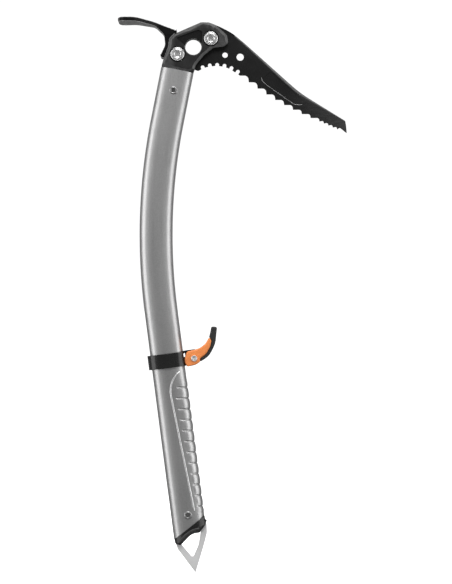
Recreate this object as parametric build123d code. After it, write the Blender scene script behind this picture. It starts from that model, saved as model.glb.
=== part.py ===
from build123d import *
import os
from math import atan2, cos, radians, sin, tan

# Ice axe, 52 cm, with a sliding hand rest. Millimetres, +Z up.
# The origin is the centre of the clip-in hole in the head, midway through its thickness.
# +X points along the pick, -X along the adze, and Y is the thickness of the axe.
# Outlines are (x, z) corners, each with its own rounding radius where it has a third number.

# ---------------------------------------------------------------- driving dimensions

# Shaft: a flattened tube, bent once
SHAFT_WIDTH = 31.4
SHAFT_THICKNESS = 20.0
SHAFT_EDGE_RADIUS = 8.8
SHAFT_WALL = 1.7
UPPER_LEAN = 11.2
LOWER_LEAN = 7.4
BEND_RADIUS = 551.0
BEND_CORNER = (-42.3, -158.9)
SHAFT_TOP_Z = -21.65
SHAFT_END_FRONT = (9.75, -443.6)
SHAFT_END_REAR = (-17.9, -465.1)

# Grip grooves pressed into the front of the lower shaft, level with each other in Z
GROOVE_COUNT = 12
GROOVE_PITCH = 10.2
GROOVE_HEIGHT = 1.8
GROOVE_DEPTH = 0.5
FIRST_GROOVE_Z = -321.6
GROOVE_BACK_X = -18.0
GROOVE_BACK_SLOPE = 0.2

# Head
HEAD_HALF = 9.5
HEAD_BEVEL = 1.5
HEAD_BEVEL_TAPER = 58
SLOT_HALF = 2.05
CLIP_HOLE_RADIUS = 7.7
CLIP_HOLE_CHAMFER = 0.8
REAR_BOLT = (-14.9, -7.0)
FRONT_BOLT = (16.7, 7.7)
HEAD_FACET_DEPTH = 1.1
HEAD_FACET = [
    (-16.4, 8.4, 1.0),
    (4.6, 16.0, 3.0),
    (8.6, 14.4, 2.0),
    (8.2, 5.0, 3.0),
    (5.0, -3.0),
    (-5.0, -3.0),
    (-9.4, 2.6, 2.0),
]
TANG_LENGTH = 40.0
TANG_GAP = 0.1

# Bolts and nuts, M8 low head
BOLT_RADIUS = 3.95
BOLT_HOLE_RADIUS = 4.1
BOLT_HEAD_RADIUS = 6.5
BOLT_HEAD_HEIGHT = 4.0
BOLT_SEAT = 7.0
BOLT_KEY = 5.0
BOLT_KEY_DEPTH = 2.6
RECESS_RADIUS = 7.6
NUT_FLATS = 13.0
NUT_THICKNESS = 4.0
NUT_BORE_RADIUS = 4.0

# Pick
PICK_HALF = 2.0
PICK_CLIP_RADIUS = 8.3
PICK_REAR_RADIUS = 8.0
TETHER_HOLES = (((30.0, -7.4), 2.6), ((44.3, -9.3), 3.45))
NOTCH_CENTRE = (21.6, -52.3)
NOTCH_TOP_RADIUS = 37.6
NOTCH_COUNT = 6
NOTCH_START = -20.9
NOTCH_STEP = 11.2
NOTCH_WIDTH = 3.5
BIG_TEETH = 10
BIG_TOOTH_START = (44.1, -26.7)
BIG_TOOTH_PITCH = 8.37
SMALL_TEETH = 4
SMALL_TOOTH_PITCH = 4.2
SMALL_TOOTH_DROP = 1.9
TOOTH_ROUND = 0.62
SPINE_CHAMFER = 1.8
SPINE_GRIND = 0.8
TIP_GRIND = 0.5
POCKET_DEPTH = 0.35
POCKET = [
    (65.0, -30.2, 2.0),
    (68.5, -36.0, 3.0),
    (95.5, -54.0, 4.0),
    (108.0, -54.2, 3.0),
    (101.0, -47.6, 6.0),
    (73.0, -22.5, 3.0),
]

# Adze
ADZE_HALF_WIDTH = 26.2
STRUT_HALF_WIDTH = 8.5
LUG_INNER = 2.0
LUG_OUTER = 4.5
LUG_RADIUS = 7.5

# Spike and end plug
SPIKE_HALF = 2.0
SPIKE_POINT_HALF = 0.6
SPIKE_GROUND_Z = -486.0
SPIKE_END_Z = -500.0
PLUG_PROUD = 1.8
PLUG_SIDE = 0.8
PLUG_HALF = 10.9
PLUG_BEVEL = 5.6
PLUG_BEVEL_TAPER = 36
RIVET_RADIUS = 3.0
RIVET_HEAD_RADIUS = 3.8
RIVET_HEAD_HEIGHT = 0.7
RIVET_BORE_RADIUS = 1.9
RIVET_BORE_DEPTH = 4.0
HEAD_RIVET = (-18.7, -41.3)
SPIKE_RIVET = (-4.9, -442.3)

# Hand rest
REST_CENTRE = 138.9
REST_HEIGHT = 13.6
REST_GAP = 0.4
REST_REAR_WALL = 2.4
REST_FRONT_WALL = 1.5
TONGUE_HALF = 3.9
TONGUE = [
    (-14.0, -288.3),
    (-8.0, -286.9, 4.0),
    (1.6, -285.6, 1.5),
    (5.8, -291.0, 4.0),
    (5.6, -296.6, 4.0),
    (-1.0, -299.6, 4.0),
    (-10.0, -301.2),
]
STRAP_WINDOW = [(-12.2, -293.0, 0.4), (-8.0, -288.8, 0.4), (-7.6, -293.0, 0.4)]
LEVER_SWEEP = 8.9
LEVER_INNER = 4.1
LEVER_OUTER = 7.6
FORK_RADIUS = 9.4
HOOK_HALF = 6.2
PIVOT = (0.85, -294.3)
SLEEVE_RADIUS = 2.3
SLEEVE_HOLE_RADIUS = 2.35
SCREW_RADIUS = 1.45
SCREW_BORE_RADIUS = 1.5
SCREW_HEAD_RADIUS = 2.85
SCREW_HEAD_HEIGHT = 1.6
SCREW_KEY = 2.0


# ---------------------------------------------------------------- helpers

def outline(corners):
    """A closed face on the XZ plane from (x, z) or (x, z, radius) corners."""
    points = [corner[:2] for corner in corners]
    radii = [corner[2] if len(corner) > 2 else 0 for corner in corners]
    if any(radii):
        line = FilletPolyline(*points, radius=radii, close=True)
    else:
        line = Polyline(*points, close=True)
    return Plane.XZ * make_face(line)


def plate(corners, half, start=None):
    """A flat plate between y = -half and +half, or between y = start and half."""
    face = outline(corners)
    if start is None:
        return extrude(face, amount=half, both=True)
    return Pos(0, half, 0) * extrude(face, amount=half - start)


def along_y(point, y=0.0):
    """A plane at (x, z) whose normal is +Y."""
    return Plane(origin=(point[0], y, point[1]), x_dir=(1, 0, 0), z_dir=(0, 1, 0))


def round_bar(point, radius, start, end):
    """A round bar along Y from y = start to end."""
    disc = along_y(point, start) * Circle(radius)
    return extrude(disc, amount=end - start)


def hex_bar(point, flats, start, end):
    """A hexagonal bar along Y, measured across its flats."""
    hexagon = along_y(point, start) * RegularPolygon(flats / 2, 6, major_radius=False)
    return extrude(hexagon, amount=end - start)


def cone_rim(point, radius, chamfer, face_y):
    """The ring-shaped cutter that chamfers a bore's rim at y = face_y, on either side."""
    side = 1 if face_y > 0 else -1
    inner = along_y(point, face_y - side * chamfer) * Circle(radius)
    outer = along_y(point, face_y + side * chamfer) * Circle(radius + 2 * chamfer)
    return loft([inner.face(), outer.face()])


def oval(half_width, half_thickness, edge_radius):
    """A flattened oval of four tangent arcs, wide along x."""
    rise = half_thickness - edge_radius
    run = half_width - edge_radius
    drop = (run * run - rise * rise) / (2 * rise)
    side_radius = half_thickness + drop
    joint_angle = atan2(run, drop)
    join_x = side_radius * sin(joint_angle)
    join_y = side_radius * cos(joint_angle) - drop
    top = ThreePointArc((-join_x, join_y), (0, half_thickness), (join_x, join_y))
    front = ThreePointArc((join_x, join_y), (half_width, 0), (join_x, -join_y))
    bottom = ThreePointArc((join_x, -join_y), (0, -half_thickness), (-join_x, -join_y))
    rear = ThreePointArc((-join_x, -join_y), (-half_width, 0), (-join_x, join_y))
    return make_face([top, front, bottom, rear])


def shaft_oval(grow=0.0):
    """The shaft's section, grown outwards by a distance."""
    return oval(SHAFT_WIDTH / 2 + grow, SHAFT_THICKNESS / 2 + grow, SHAFT_EDGE_RADIUS + grow)


def bevelled_block(face, half, bevel, taper):
    """A block between y = -half and +half, with a bevel all round the outline of both faces."""
    block = extrude(face, amount=half - bevel, both=True)
    for side in (-1, 1):
        step = Pos(0, side * (half - bevel), 0) * face
        block += extrude(step, amount=bevel, dir=(0, side, 0), taper=taper)
    return block


# ---------------------------------------------------------------- the shaft's line

UP = Vector(sin(radians(UPPER_LEAN)), 0, cos(radians(UPPER_LEAN)))
DOWN = Vector(sin(radians(LOWER_LEAN)), 0, -cos(radians(LOWER_LEAN)))
CORNER = Vector(BEND_CORNER[0], 0, BEND_CORNER[1])
BEND_TANGENT = BEND_RADIUS * tan(radians((UPPER_LEAN + LOWER_LEAN) / 2))
TOP = CORNER + UP * ((SHAFT_TOP_Z - BEND_CORNER[1]) / UP.Z)
UPPER_PLANE = Plane(origin=TOP, x_dir=UP.cross(Vector(0, -1, 0)), z_dir=UP)
LOWER_PLANE = Plane(origin=CORNER, x_dir=DOWN.cross(Vector(0, 1, 0)), z_dir=DOWN)
LOWER_LENGTH = 330.0


def lower_prism(face, start, end):
    """A prism of a face drawn in the lower shaft's section, between two places along it."""
    return LOWER_PLANE * Pos(0, 0, start) * extrude(face, amount=end - start)


def end_cut():
    """Everything below the shaft's slanted lower end."""
    front = Vector(*SHAFT_END_FRONT)
    rear = Vector(*SHAFT_END_REAR)
    along = (front - rear).normalized()
    far_front = front + along * 40
    far_rear = rear - along * 40
    corners = [
        (far_rear.X, far_rear.Y),
        (far_front.X, far_front.Y),
        (far_front.X, far_front.Y - 120),
        (far_rear.X, far_rear.Y - 120),
    ]
    return plate(corners, 40)


# ---------------------------------------------------------------- shaft

def make_shaft():
    bend_start = CORNER + UP * BEND_TANGENT
    bend_end = CORNER + DOWN * BEND_TANGENT
    upper = Line(TOP, bend_start)
    bend = TangentArc(bend_start, bend_end, tangent=-UP)
    lower = Line(bend_end, CORNER + DOWN * LOWER_LENGTH)
    path = Wire([upper.edge(), bend.edge(), lower.edge()])
    section = Plane(origin=TOP, x_dir=UPPER_PLANE.x_dir, z_dir=-UP)
    tube = sweep(section * shaft_oval(), path=path) - sweep(section * shaft_oval(-SHAFT_WALL), path=path)
    tube -= end_cut()
    skin = lower_prism(shaft_oval(2), 150, 300) - lower_prism(shaft_oval(-GROOVE_DEPTH), 150, 300)
    for number in range(GROOVE_COUNT):
        drop = number * GROOVE_PITCH
        middle = FIRST_GROOVE_Z - drop
        back = GROOVE_BACK_X + GROOVE_BACK_SLOPE * drop
        low = middle - GROOVE_HEIGHT / 2
        high = middle + GROOVE_HEIGHT / 2
        tube -= skin & plate([(back, low), (back + 40, low), (back + 40, high), (back, high)], 15)
    for point in (HEAD_RIVET, SPIKE_RIVET):
        tube -= round_bar(point, RIVET_RADIUS, -15, 15)
    return tube


# ---------------------------------------------------------------- pick

def big_tooth_z(x):
    """The curve that the tips of the big teeth lie on."""
    run = x - BIG_TOOTH_START[0]
    return BIG_TOOTH_START[1] - 0.776 * run + 0.00264 * run * run


def pick_teeth():
    """The toothed edge, as corners from the head out to the tip."""
    tips = []
    for number in range(BIG_TEETH):
        x = BIG_TOOTH_START[0] + number * BIG_TOOTH_PITCH
        tips.append((x, big_tooth_z(x)))
    for number in range(SMALL_TEETH):
        x, z = tips[-1]
        tips.append((x + SMALL_TOOTH_PITCH, z - SMALL_TOOTH_DROP))
    corners = []
    for number, (x, z) in enumerate(tips):
        if number:
            last_z = tips[number - 1][1]
            if number < BIG_TEETH:
                corners.append((x - 0.7, last_z, TOOTH_ROUND * (last_z - z)))
            else:
                corners.append((x - 0.7, last_z + 0.7, 1.3))
        corners.append((x, z, 0.3))
    x, z = tips[-1]
    corners.append((x + 2.4, z + 1.7, 1.0))
    return corners


def spine_corners():
    """The pick's back, from the head's peak out to the tip."""
    return [
        (10.4, 23.5, 1.5),
        (22.0, 20.9, 40.0),
        (36.5, 13.6, 50.0),
        (48.0, 4.1, 80.0),
        (101.0, -43.3, 120.0),
        (143.7, -69.6, 1.5),
    ]


def pick_trim(side):
    """What is ground off one face: the chamfer along the back, the shallow pocket and the thin tip."""
    face_y = side * PICK_HALF
    line = [(40.0, 10.6), (48.0, 4.1), (101.0, -43.3), (146.0, -71.1)]
    trim = None
    for start, end in zip(line, line[1:]):
        run = Vector(end[0] - start[0], end[1] - start[1])
        along = Vector(run.X, 0, run.Y).normalized()
        across = Vector(-along.Z, 0, along.X)
        base = Plane(origin=(start[0], face_y, start[1]), x_dir=across, z_dir=along)
        depth = -side * base.y_dir.Y * SPINE_GRIND
        beyond = 3.0
        deepest = depth * (beyond + SPINE_CHAMFER) / SPINE_CHAMFER
        wedge = Polyline((-SPINE_CHAMFER, 0), (beyond, 0), (beyond, deepest), close=True)
        piece = base * Pos(0, 0, -1) * extrude(make_face(wedge), amount=run.length + 2)
        trim = piece if trim is None else trim + piece
    pocket = outline(POCKET)
    trim += Pos(0, face_y, 0) * extrude(pocket, amount=POCKET_DEPTH, both=True)
    tip = Plane(origin=(92.0, 0, -70.0), x_dir=(1, 0, 0), z_dir=(0, 0, 1))
    outside = face_y + side
    slope = Polyline((0, face_y), (60, face_y - side * TIP_GRIND), (60, outside), (0, outside), close=True)
    trim += tip * Pos(0, 0, -30) * extrude(make_face(slope), amount=80)
    return trim


def make_pick():
    rear_x, rear_z = REAR_BOLT
    corners = spine_corners() + [
        (144.5, -74.0, 4.0),
        (145.2, -81.3, 0.3),
    ]
    corners += reversed(pick_teeth())
    corners += [
        (40.8, -24.4, 1.0),
        (32.0, -18.9, 20.0),
        (22.3, -17.2, 20.0),
        (11.0, -18.8, 20.0),
        (4.6, -22.4, 1.5),
        (rear_x, rear_z - PICK_REAR_RADIUS, 6.0),
        (rear_x - PICK_REAR_RADIUS, rear_z - 4, 5.0),
        (rear_x - PICK_REAR_RADIUS + 1, rear_z + 6, 5.0),
        (-4.0, 13.0, 6.0),
        (7.8, 20.3, 2.0),
    ]
    pick = plate(corners, PICK_HALF)
    for number in range(NOTCH_COUNT):
        angle = radians(NOTCH_START + number * NOTCH_STEP)
        away = Vector(sin(angle), cos(angle))
        centre = Vector(*NOTCH_CENTRE) + away * (NOTCH_TOP_RADIUS - NOTCH_WIDTH / 2)
        mouth = centre - away * 12
        side = Vector(away.Y, -away.X) * (NOTCH_WIDTH / 2)
        slot = [centre + side, mouth + side, mouth - side, centre - side]
        pick -= plate([(point.X, point.Y) for point in slot], PICK_HALF + 1)
        pick -= round_bar((centre.X, centre.Y), NOTCH_WIDTH / 2, -PICK_HALF - 1, PICK_HALF + 1)
    for side in (-1, 1):
        pick -= pick_trim(side)
    pick -= round_bar((0, 0), PICK_CLIP_RADIUS, -5, 5)
    for point, radius in TETHER_HOLES:
        pick -= round_bar(point, radius, -5, 5)
    for point in (REAR_BOLT, FRONT_BOLT):
        pick -= round_bar(point, BOLT_HOLE_RADIUS, -5, 5)
    return pick


# ---------------------------------------------------------------- head

def head_outline():
    return [
        (-30.0, -18.1),
        (-28.2, -11.6, 3.0),
        (-23.4, -1.0, 8.0),
        (-22.2, 7.6, 3.0),
        (-18.2, 11.9, 3.0),
        (-8.0, 16.5, 10.0),
        (7.6, 23.2, 6.0),
        (15.0, 22.9, 5.0),
        (21.4, 20.4, 4.0),
        (31.8, 10.9, 3.5),
        (33.0, 3.6, 3.0),
        (28.6, 0.2, 3.0),
        (19.0, -0.9, 6.0),
        (9.6, -8.4, 12.0),
        (2.2, -17.4, 4.0),
        (-0.1, -25.2),
    ]


def head_block():
    """The cheeks' outer shape."""
    return bevelled_block(outline(head_outline()), HEAD_HALF, HEAD_BEVEL, HEAD_BEVEL_TAPER)


def head_flare():
    """The shaft's oval, opening upwards from the joint, which shapes the head's neck."""
    low = UPPER_PLANE * shaft_oval()
    high = UPPER_PLANE * Pos(0, 0, 50) * oval(70, 30, 29)
    return loft([low.face(), high.face()])


def make_head():
    head = head_block() & head_flare()
    tang = UPPER_PLANE * Pos(0, 0, 1) * extrude(shaft_oval(-SHAFT_WALL - TANG_GAP), amount=-TANG_LENGTH - 1)
    head += tang
    pick_room = [
        (40.0, 40.0),
        (7.0, 40.0),
        (7.0, 20.6),
        (-4.4, 13.7),
        (REAR_BOLT[0] - 8.4, REAR_BOLT[1] + 7.0),
        (REAR_BOLT[0] - 8.4, REAR_BOLT[1] - 8.4),
        (REAR_BOLT[0], REAR_BOLT[1] - 8.4),
        (6.0, -23.5),
        (40.0, -23.5),
    ]
    head -= plate(pick_room, SLOT_HALF)
    head -= plate(lug_corners(0.3), LUG_OUTER)
    head -= round_bar(REAR_BOLT, LUG_RADIUS + 0.3, -LUG_OUTER, LUG_OUTER)
    for side in (-1, 1):
        facet = Pos(0, side * HEAD_HALF, 0) * outline(HEAD_FACET)
        head -= extrude(facet, amount=HEAD_FACET_DEPTH, both=True)
    head -= round_bar((0, 0), CLIP_HOLE_RADIUS, -20, 20)
    for face_y in (-HEAD_HALF, HEAD_HALF):
        head -= cone_rim((0, 0), CLIP_HOLE_RADIUS, CLIP_HOLE_CHAMFER, face_y)
    for point in (REAR_BOLT, FRONT_BOLT):
        head -= round_bar(point, BOLT_HOLE_RADIUS, -20, 20)
        head -= round_bar(point, RECESS_RADIUS, -20, -BOLT_SEAT)
        head -= hex_bar(point, NUT_FLATS + 0.3, BOLT_SEAT, 20)
    head -= round_bar(HEAD_RIVET, RIVET_RADIUS, -15, 15)
    return head


# ---------------------------------------------------------------- adze

def lug_corners(grow=0.0):
    """The lugs' straight part, from the rear bolt out to the strut."""
    return [
        (REAR_BOLT[0] + 2, REAR_BOLT[1] + LUG_RADIUS + grow),
        (REAR_BOLT[0] - 14, REAR_BOLT[1] + LUG_RADIUS + 1 + grow),
        (REAR_BOLT[0] - 14, REAR_BOLT[1] - 4 - grow),
        (REAR_BOLT[0], REAR_BOLT[1] - LUG_RADIUS - grow),
    ]


def adze_profile():
    """The adze from the side: the blade, the lip over the head and the strut down behind it."""
    return [
        (-71.0, 26.9, 1.2),
        (-54.0, 27.1, 40.0),
        (-36.4, 23.1, 40.0),
        (-15.2, 15.2, 1.0),
        (-16.0, 12.9),
        (-18.2, 11.9, 3.0),
        (-22.2, 7.6, 3.0),
        (-23.4, -1.0, 8.0),
        (-27.8, -10.7),
        (-30.2, -10.4, 1.0),
        (-31.2, -8.1, 1.0),
        (-26.6, 1.5, 8.0),
        (-27.6, 11.2, 8.0),
        (-36.0, 19.2, 10.0),
        (-54.0, 23.1, 40.0),
        (-71.0, 22.9, 1.4),
    ]


def adze_plan():
    """The adze from above, from the cutting edge to the lip."""
    near = [
        (-71.4, -12.0, 8.0),
        (-67.5, -ADZE_HALF_WIDTH, 6.0),
        (-55.0, -22.0, 20.0),
        (-32.0, -STRUT_HALF_WIDTH, 14.0),
        (-10.0, -STRUT_HALF_WIDTH),
    ]
    far = [(corner[0], -corner[1]) + corner[2:] for corner in reversed(near)]
    return near + [far[0]] + far[1:]


def make_adze():
    side = plate(adze_profile(), ADZE_HALF_WIDTH + 1)
    corners = adze_plan()
    points = [corner[:2] for corner in corners]
    radii = [corner[2] if len(corner) > 2 else 0 for corner in corners]
    plan = make_face(FilletPolyline(*points, radius=radii, close=True))
    body = side & Pos(0, 0, -20) * extrude(plan, amount=60)
    body -= head_block()
    lugs = plate(lug_corners(), LUG_OUTER) + round_bar(REAR_BOLT, LUG_RADIUS, -LUG_OUTER, LUG_OUTER)
    behind = plate([(-40, -20), (0, -20), (0, 10), (-40, 10)], LUG_OUTER)
    lugs = lugs & behind
    lugs -= plate([(-23.6, -20), (0, -20), (0, 20), (-23.6, 20)], LUG_INNER)
    outer_edge = plate([(-60, -20), (-26.5, -20), (-26.5, 20), (-60, 20)], LUG_OUTER + 1)
    adze = body + (lugs - outer_edge)
    adze -= round_bar(REAR_BOLT, BOLT_HOLE_RADIUS, -9, 9)
    return adze


# ---------------------------------------------------------------- fasteners

def make_bolt(point):
    end = BOLT_SEAT + NUT_THICKNESS
    bolt = round_bar(point, BOLT_RADIUS, -BOLT_SEAT, end)
    bolt += round_bar(point, BOLT_HEAD_RADIUS, -BOLT_SEAT - BOLT_HEAD_HEIGHT, -BOLT_SEAT)
    top = -BOLT_SEAT - BOLT_HEAD_HEIGHT
    bolt -= hex_bar(point, BOLT_KEY, top - 1, top + BOLT_KEY_DEPTH)
    return bolt


def make_nut(point):
    nut = hex_bar(point, NUT_FLATS, BOLT_SEAT, BOLT_SEAT + NUT_THICKNESS)
    return nut - round_bar(point, NUT_BORE_RADIUS, 0, 20)


def make_rivet(point):
    face = SHAFT_THICKNESS / 2
    rivet = round_bar(point, RIVET_RADIUS, -face - RIVET_HEAD_HEIGHT, face + RIVET_HEAD_HEIGHT)
    for side in (-1, 1):
        ends = sorted((side * face, side * (face + RIVET_HEAD_HEIGHT)))
        rivet += round_bar(point, RIVET_HEAD_RADIUS, *ends)
    for side in (-1, 1):
        ends = sorted((side * (face - RIVET_BORE_DEPTH), side * 15))
        rivet -= round_bar(point, RIVET_BORE_RADIUS, *ends)
    return rivet


# ---------------------------------------------------------------- spike and end plug

def make_plug():
    corners = [
        (9.0, -435.0),
        (11.2, -446.6, 0.4),
        (12.9, -447.8, 0.6),
        (10.9, -452.2, 4.0),
        (6.0, -459.0, 1.6),
        (-1.6, -460.2, 12.0),
        (-11.8, -470.9, 2.2),
        (-17.2, -469.6, 2.6),
        (-18.2, -464.0),
        (-18.2, -435.0),
    ]
    blank = bevelled_block(outline(corners), PLUG_HALF, PLUG_BEVEL, PLUG_BEVEL_TAPER) & end_cut()
    half_width = (SHAFT_WIDTH + PLUG_PROUD) / 2
    half_thickness = SHAFT_THICKNESS / 2 + PLUG_SIDE
    collar = Pos(PLUG_PROUD / 2, 0, 0) * oval(half_width, half_thickness, SHAFT_EDGE_RADIUS)
    plug = blank & lower_prism(collar, 250, LOWER_LENGTH)
    inner = lower_prism(shaft_oval(-SHAFT_WALL - TANG_GAP), 270, LOWER_LENGTH) - end_cut()
    plug += inner - round_bar(SPIKE_RIVET, 9, -20, 20)
    plug -= spike_plate(0.1)
    return plug


def spike_plate(gap=0.0):
    """The spike's plate with its tang; the gap gives the slot that it sits in."""
    corners = [
        (6.5, -436.0, 2.0),
        (9.5, -449.0),
        (12.6, -451.0, 0.6),
        (13.0, -459.6, 14.0),
        (9.1, -474.2, 30.0),
        (2.1, -497.2, 0.4),
        (-14.6, -475.0, 5.0),
        (-16.8, -469.0, 0.6),
        (-14.0, -463.0),
        (-10.0, -436.0, 2.0),
    ]
    return plate(corners, SPIKE_HALF + gap)


def make_spike():
    spike = spike_plate()
    eye = [(-12.4, -469.3, 1.0), (-0.5, -483.3, 1.6), (4.9, -470.8, 20.0), (7.1, -457.5, 0.6), (0.0, -456.5)]
    spike -= plate(eye, 6)
    end = plate([(-6, SPIKE_GROUND_Z), (10, SPIKE_GROUND_Z), (10, SPIKE_END_Z), (-6, SPIKE_END_Z)], 4)
    spike -= end - point_wedge()
    return spike - round_bar(SPIKE_RIVET, RIVET_RADIUS, -9, 9)


def point_wedge():
    """The ground point of the spike: the plate thins towards its tip."""
    profile = [
        (-SPIKE_HALF, SPIKE_GROUND_Z),
        (SPIKE_HALF, SPIKE_GROUND_Z),
        (SPIKE_POINT_HALF, SPIKE_END_Z),
        (-SPIKE_POINT_HALF, SPIKE_END_Z),
    ]
    face = Plane.YZ * make_face(Polyline(*profile, close=True))
    return extrude(face, amount=20, both=True)


# ---------------------------------------------------------------- hand rest

def rest_plane_range():
    return REST_CENTRE - REST_HEIGHT / 2, REST_CENTRE + REST_HEIGHT / 2


def make_band():
    low, high = rest_plane_range()
    half_width = SHAFT_WIDTH / 2 + REST_GAP + (REST_REAR_WALL + REST_FRONT_WALL) / 2
    half_thickness = SHAFT_THICKNESS / 2 + REST_GAP + REST_REAR_WALL * 0.8
    shift = (REST_FRONT_WALL - REST_REAR_WALL) / 2
    outer = Pos(shift, 0, 0) * oval(half_width, half_thickness, half_thickness - 1.2)
    front_rise = plate([(-18.0, -291.0), (-10.0, -287.4), (2.0, -286.0), (2.0, -300.0), (-18.0, -300.0)], 20)
    band = lower_prism(outer, low, high)
    band += lower_prism(outer, low - 3, high) & front_rise
    band += plate(TONGUE, TONGUE_HALF)
    band -= lower_prism(shaft_oval(REST_GAP), low - 5, high + 1)
    for side in (-1, 1):
        ends = sorted((side * (LEVER_INNER - 0.1), side * 12))
        band -= round_bar(PIVOT, LEVER_SWEEP + 0.35, *ends)
    band -= plate(STRAP_WINDOW, 20)
    return band - round_bar(PIVOT, SLEEVE_HOLE_RADIUS, -20, 20)


def lever_core_outline():
    return [
        (-6.0, -287.9, 2.5),
        (-8.2, -294.0, 6.0),
        (-7.8, -299.0, 3.0),
        (-5.5, -302.1, 1.2),
        (2.0, -300.6, 8.0),
        (6.3, -297.8, 1.2),
        (6.5, -294.4, 1.5),
        (12.2, -290.0, 10.0),
        (16.3, -282.6, 8.0),
        (17.0, -277.6, 1.2),
        (14.9, -274.0, 1.2),
        (11.6, -280.4, 10.0),
        (5.6, -285.0, 10.0),
        (-2.0, -286.8, 10.0),
    ]


def overmould_outline():
    return [
        (6.3, -297.8, 1.2),
        (6.5, -294.4, 1.5),
        (12.2, -290.0, 10.0),
        (16.3, -282.6, 8.0),
        (17.0, -277.6, 1.2),
        (14.9, -274.0, 1.2),
        (16.0, -269.6, 8.0),
        (17.0, -264.2, 1.6),
        (22.5, -264.6, 1.6),
        (20.9, -280.6, 18.0),
        (15.0, -292.2, 16.0),
    ]


def make_lever():
    core = plate(lever_core_outline(), LEVER_OUTER)
    hook_trim = [(7.4, -260.0), (30.0, -260.0), (30.0, -300.0), (7.4, -300.0)]
    for side in (-1, 1):
        ends = sorted((side * HOOK_HALF, side * 20))
        core -= plate(hook_trim, ends[1], ends[0])
    core -= round_bar(PIVOT, FORK_RADIUS, -LEVER_INNER, LEVER_INNER)
    core -= plate([(-20, -280), (PIVOT[0], -280), (PIVOT[0], -310), (-20, -310)], LEVER_INNER)
    rear = plate([(-20, -280), (-2, -280), (-2, -300), (-20, -300)], 20)
    core -= rear - round_bar(PIVOT, LEVER_SWEEP, -20, 20)
    return core - round_bar(PIVOT, SLEEVE_HOLE_RADIUS, -20, 20)


def make_overmould():
    rubber = plate(overmould_outline(), HOOK_HALF)
    rubber -= plate(lever_core_outline(), LEVER_OUTER)
    return rubber - round_bar(PIVOT, FORK_RADIUS, -LEVER_INNER, LEVER_INNER)


def make_sleeve():
    sleeve = round_bar(PIVOT, SLEEVE_RADIUS, -LEVER_OUTER, LEVER_OUTER)
    sleeve += round_bar(PIVOT, SCREW_HEAD_RADIUS, LEVER_OUTER, LEVER_OUTER + SCREW_HEAD_HEIGHT)
    return sleeve - round_bar(PIVOT, SCREW_BORE_RADIUS, -20, LEVER_OUTER)


def make_screw():
    start = -LEVER_OUTER - SCREW_HEAD_HEIGHT
    screw = round_bar(PIVOT, SCREW_RADIUS, start, LEVER_OUTER - 1)
    screw += round_bar(PIVOT, SCREW_HEAD_RADIUS, start, -LEVER_OUTER)
    return screw - hex_bar(PIVOT, SCREW_KEY, start - 1, start + 1.0)


# ---------------------------------------------------------------- output

PARTS = {
    "shaft": make_shaft(),
    "head": make_head(),
    "pick": make_pick(),
    "adze": make_adze(),
    "front_bolt": make_bolt(FRONT_BOLT),
    "rear_bolt": make_bolt(REAR_BOLT),
    "front_nut": make_nut(FRONT_BOLT),
    "rear_nut": make_nut(REAR_BOLT),
    "head_rivet": make_rivet(HEAD_RIVET),
    "spike_rivet": make_rivet(SPIKE_RIVET),
    "spike": make_spike(),
    "end_plug": make_plug(),
    "rest_band": make_band(),
    "rest_lever": make_lever(),
    "lever_overmould": make_overmould(),
    "pivot_sleeve": make_sleeve(),
    "pivot_screw": make_screw(),
}

os.makedirs("parts", exist_ok=True)
for name, shape in PARTS.items():
    export_step(shape, f"parts/{name}.step")
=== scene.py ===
import bpy
import bmesh
from math import atan2, cos, exp, pi, radians, sin, sqrt, tan
from mathutils import Matrix, Vector


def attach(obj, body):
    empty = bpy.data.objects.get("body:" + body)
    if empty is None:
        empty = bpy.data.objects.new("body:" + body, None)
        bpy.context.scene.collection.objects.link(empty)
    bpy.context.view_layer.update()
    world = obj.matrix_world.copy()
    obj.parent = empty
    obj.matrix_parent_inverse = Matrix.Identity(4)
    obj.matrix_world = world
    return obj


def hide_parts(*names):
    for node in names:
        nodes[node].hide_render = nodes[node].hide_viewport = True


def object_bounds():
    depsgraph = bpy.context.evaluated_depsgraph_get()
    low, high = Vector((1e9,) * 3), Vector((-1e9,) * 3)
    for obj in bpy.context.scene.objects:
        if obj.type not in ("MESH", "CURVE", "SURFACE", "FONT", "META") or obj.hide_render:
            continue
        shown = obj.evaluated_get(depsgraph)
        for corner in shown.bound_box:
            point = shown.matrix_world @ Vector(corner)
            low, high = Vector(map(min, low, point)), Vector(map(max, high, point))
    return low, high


# Ice axe with a sliding hand rest. Metres, +Z up, +X along the pick, Y through the thickness.

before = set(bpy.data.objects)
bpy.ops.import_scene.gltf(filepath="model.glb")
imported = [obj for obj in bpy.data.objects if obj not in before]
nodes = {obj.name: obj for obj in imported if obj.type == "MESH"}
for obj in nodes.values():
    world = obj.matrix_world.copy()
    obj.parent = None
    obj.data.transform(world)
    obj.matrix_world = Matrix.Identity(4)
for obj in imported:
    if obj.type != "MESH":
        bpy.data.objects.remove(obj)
cad_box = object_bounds()
MM = 0.001

# ---------------------------------------------------------------- camera

CAMERA_DISTANCE = 2.8
CAMERA_LENS = 182.3
VIEW_CENTRE_X = 30.9 * MM
VIEW_CENTRE_Z = -231.6 * MM


def make_camera():
    data = bpy.data.cameras.new("camera")
    data.sensor_fit = "AUTO"
    data.sensor_width = 36.0
    data.lens = CAMERA_LENS
    data.clip_start = 0.05
    data.clip_end = 50.0
    camera = bpy.data.objects.new("camera", data)
    camera.location = (VIEW_CENTRE_X, -CAMERA_DISTANCE, VIEW_CENTRE_Z)
    camera.rotation_euler = (radians(90), 0, 0)
    bpy.context.scene.collection.objects.link(camera)
    bpy.context.scene.camera = camera


make_camera()

# ---------------------------------------------------------------- node helpers


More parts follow.
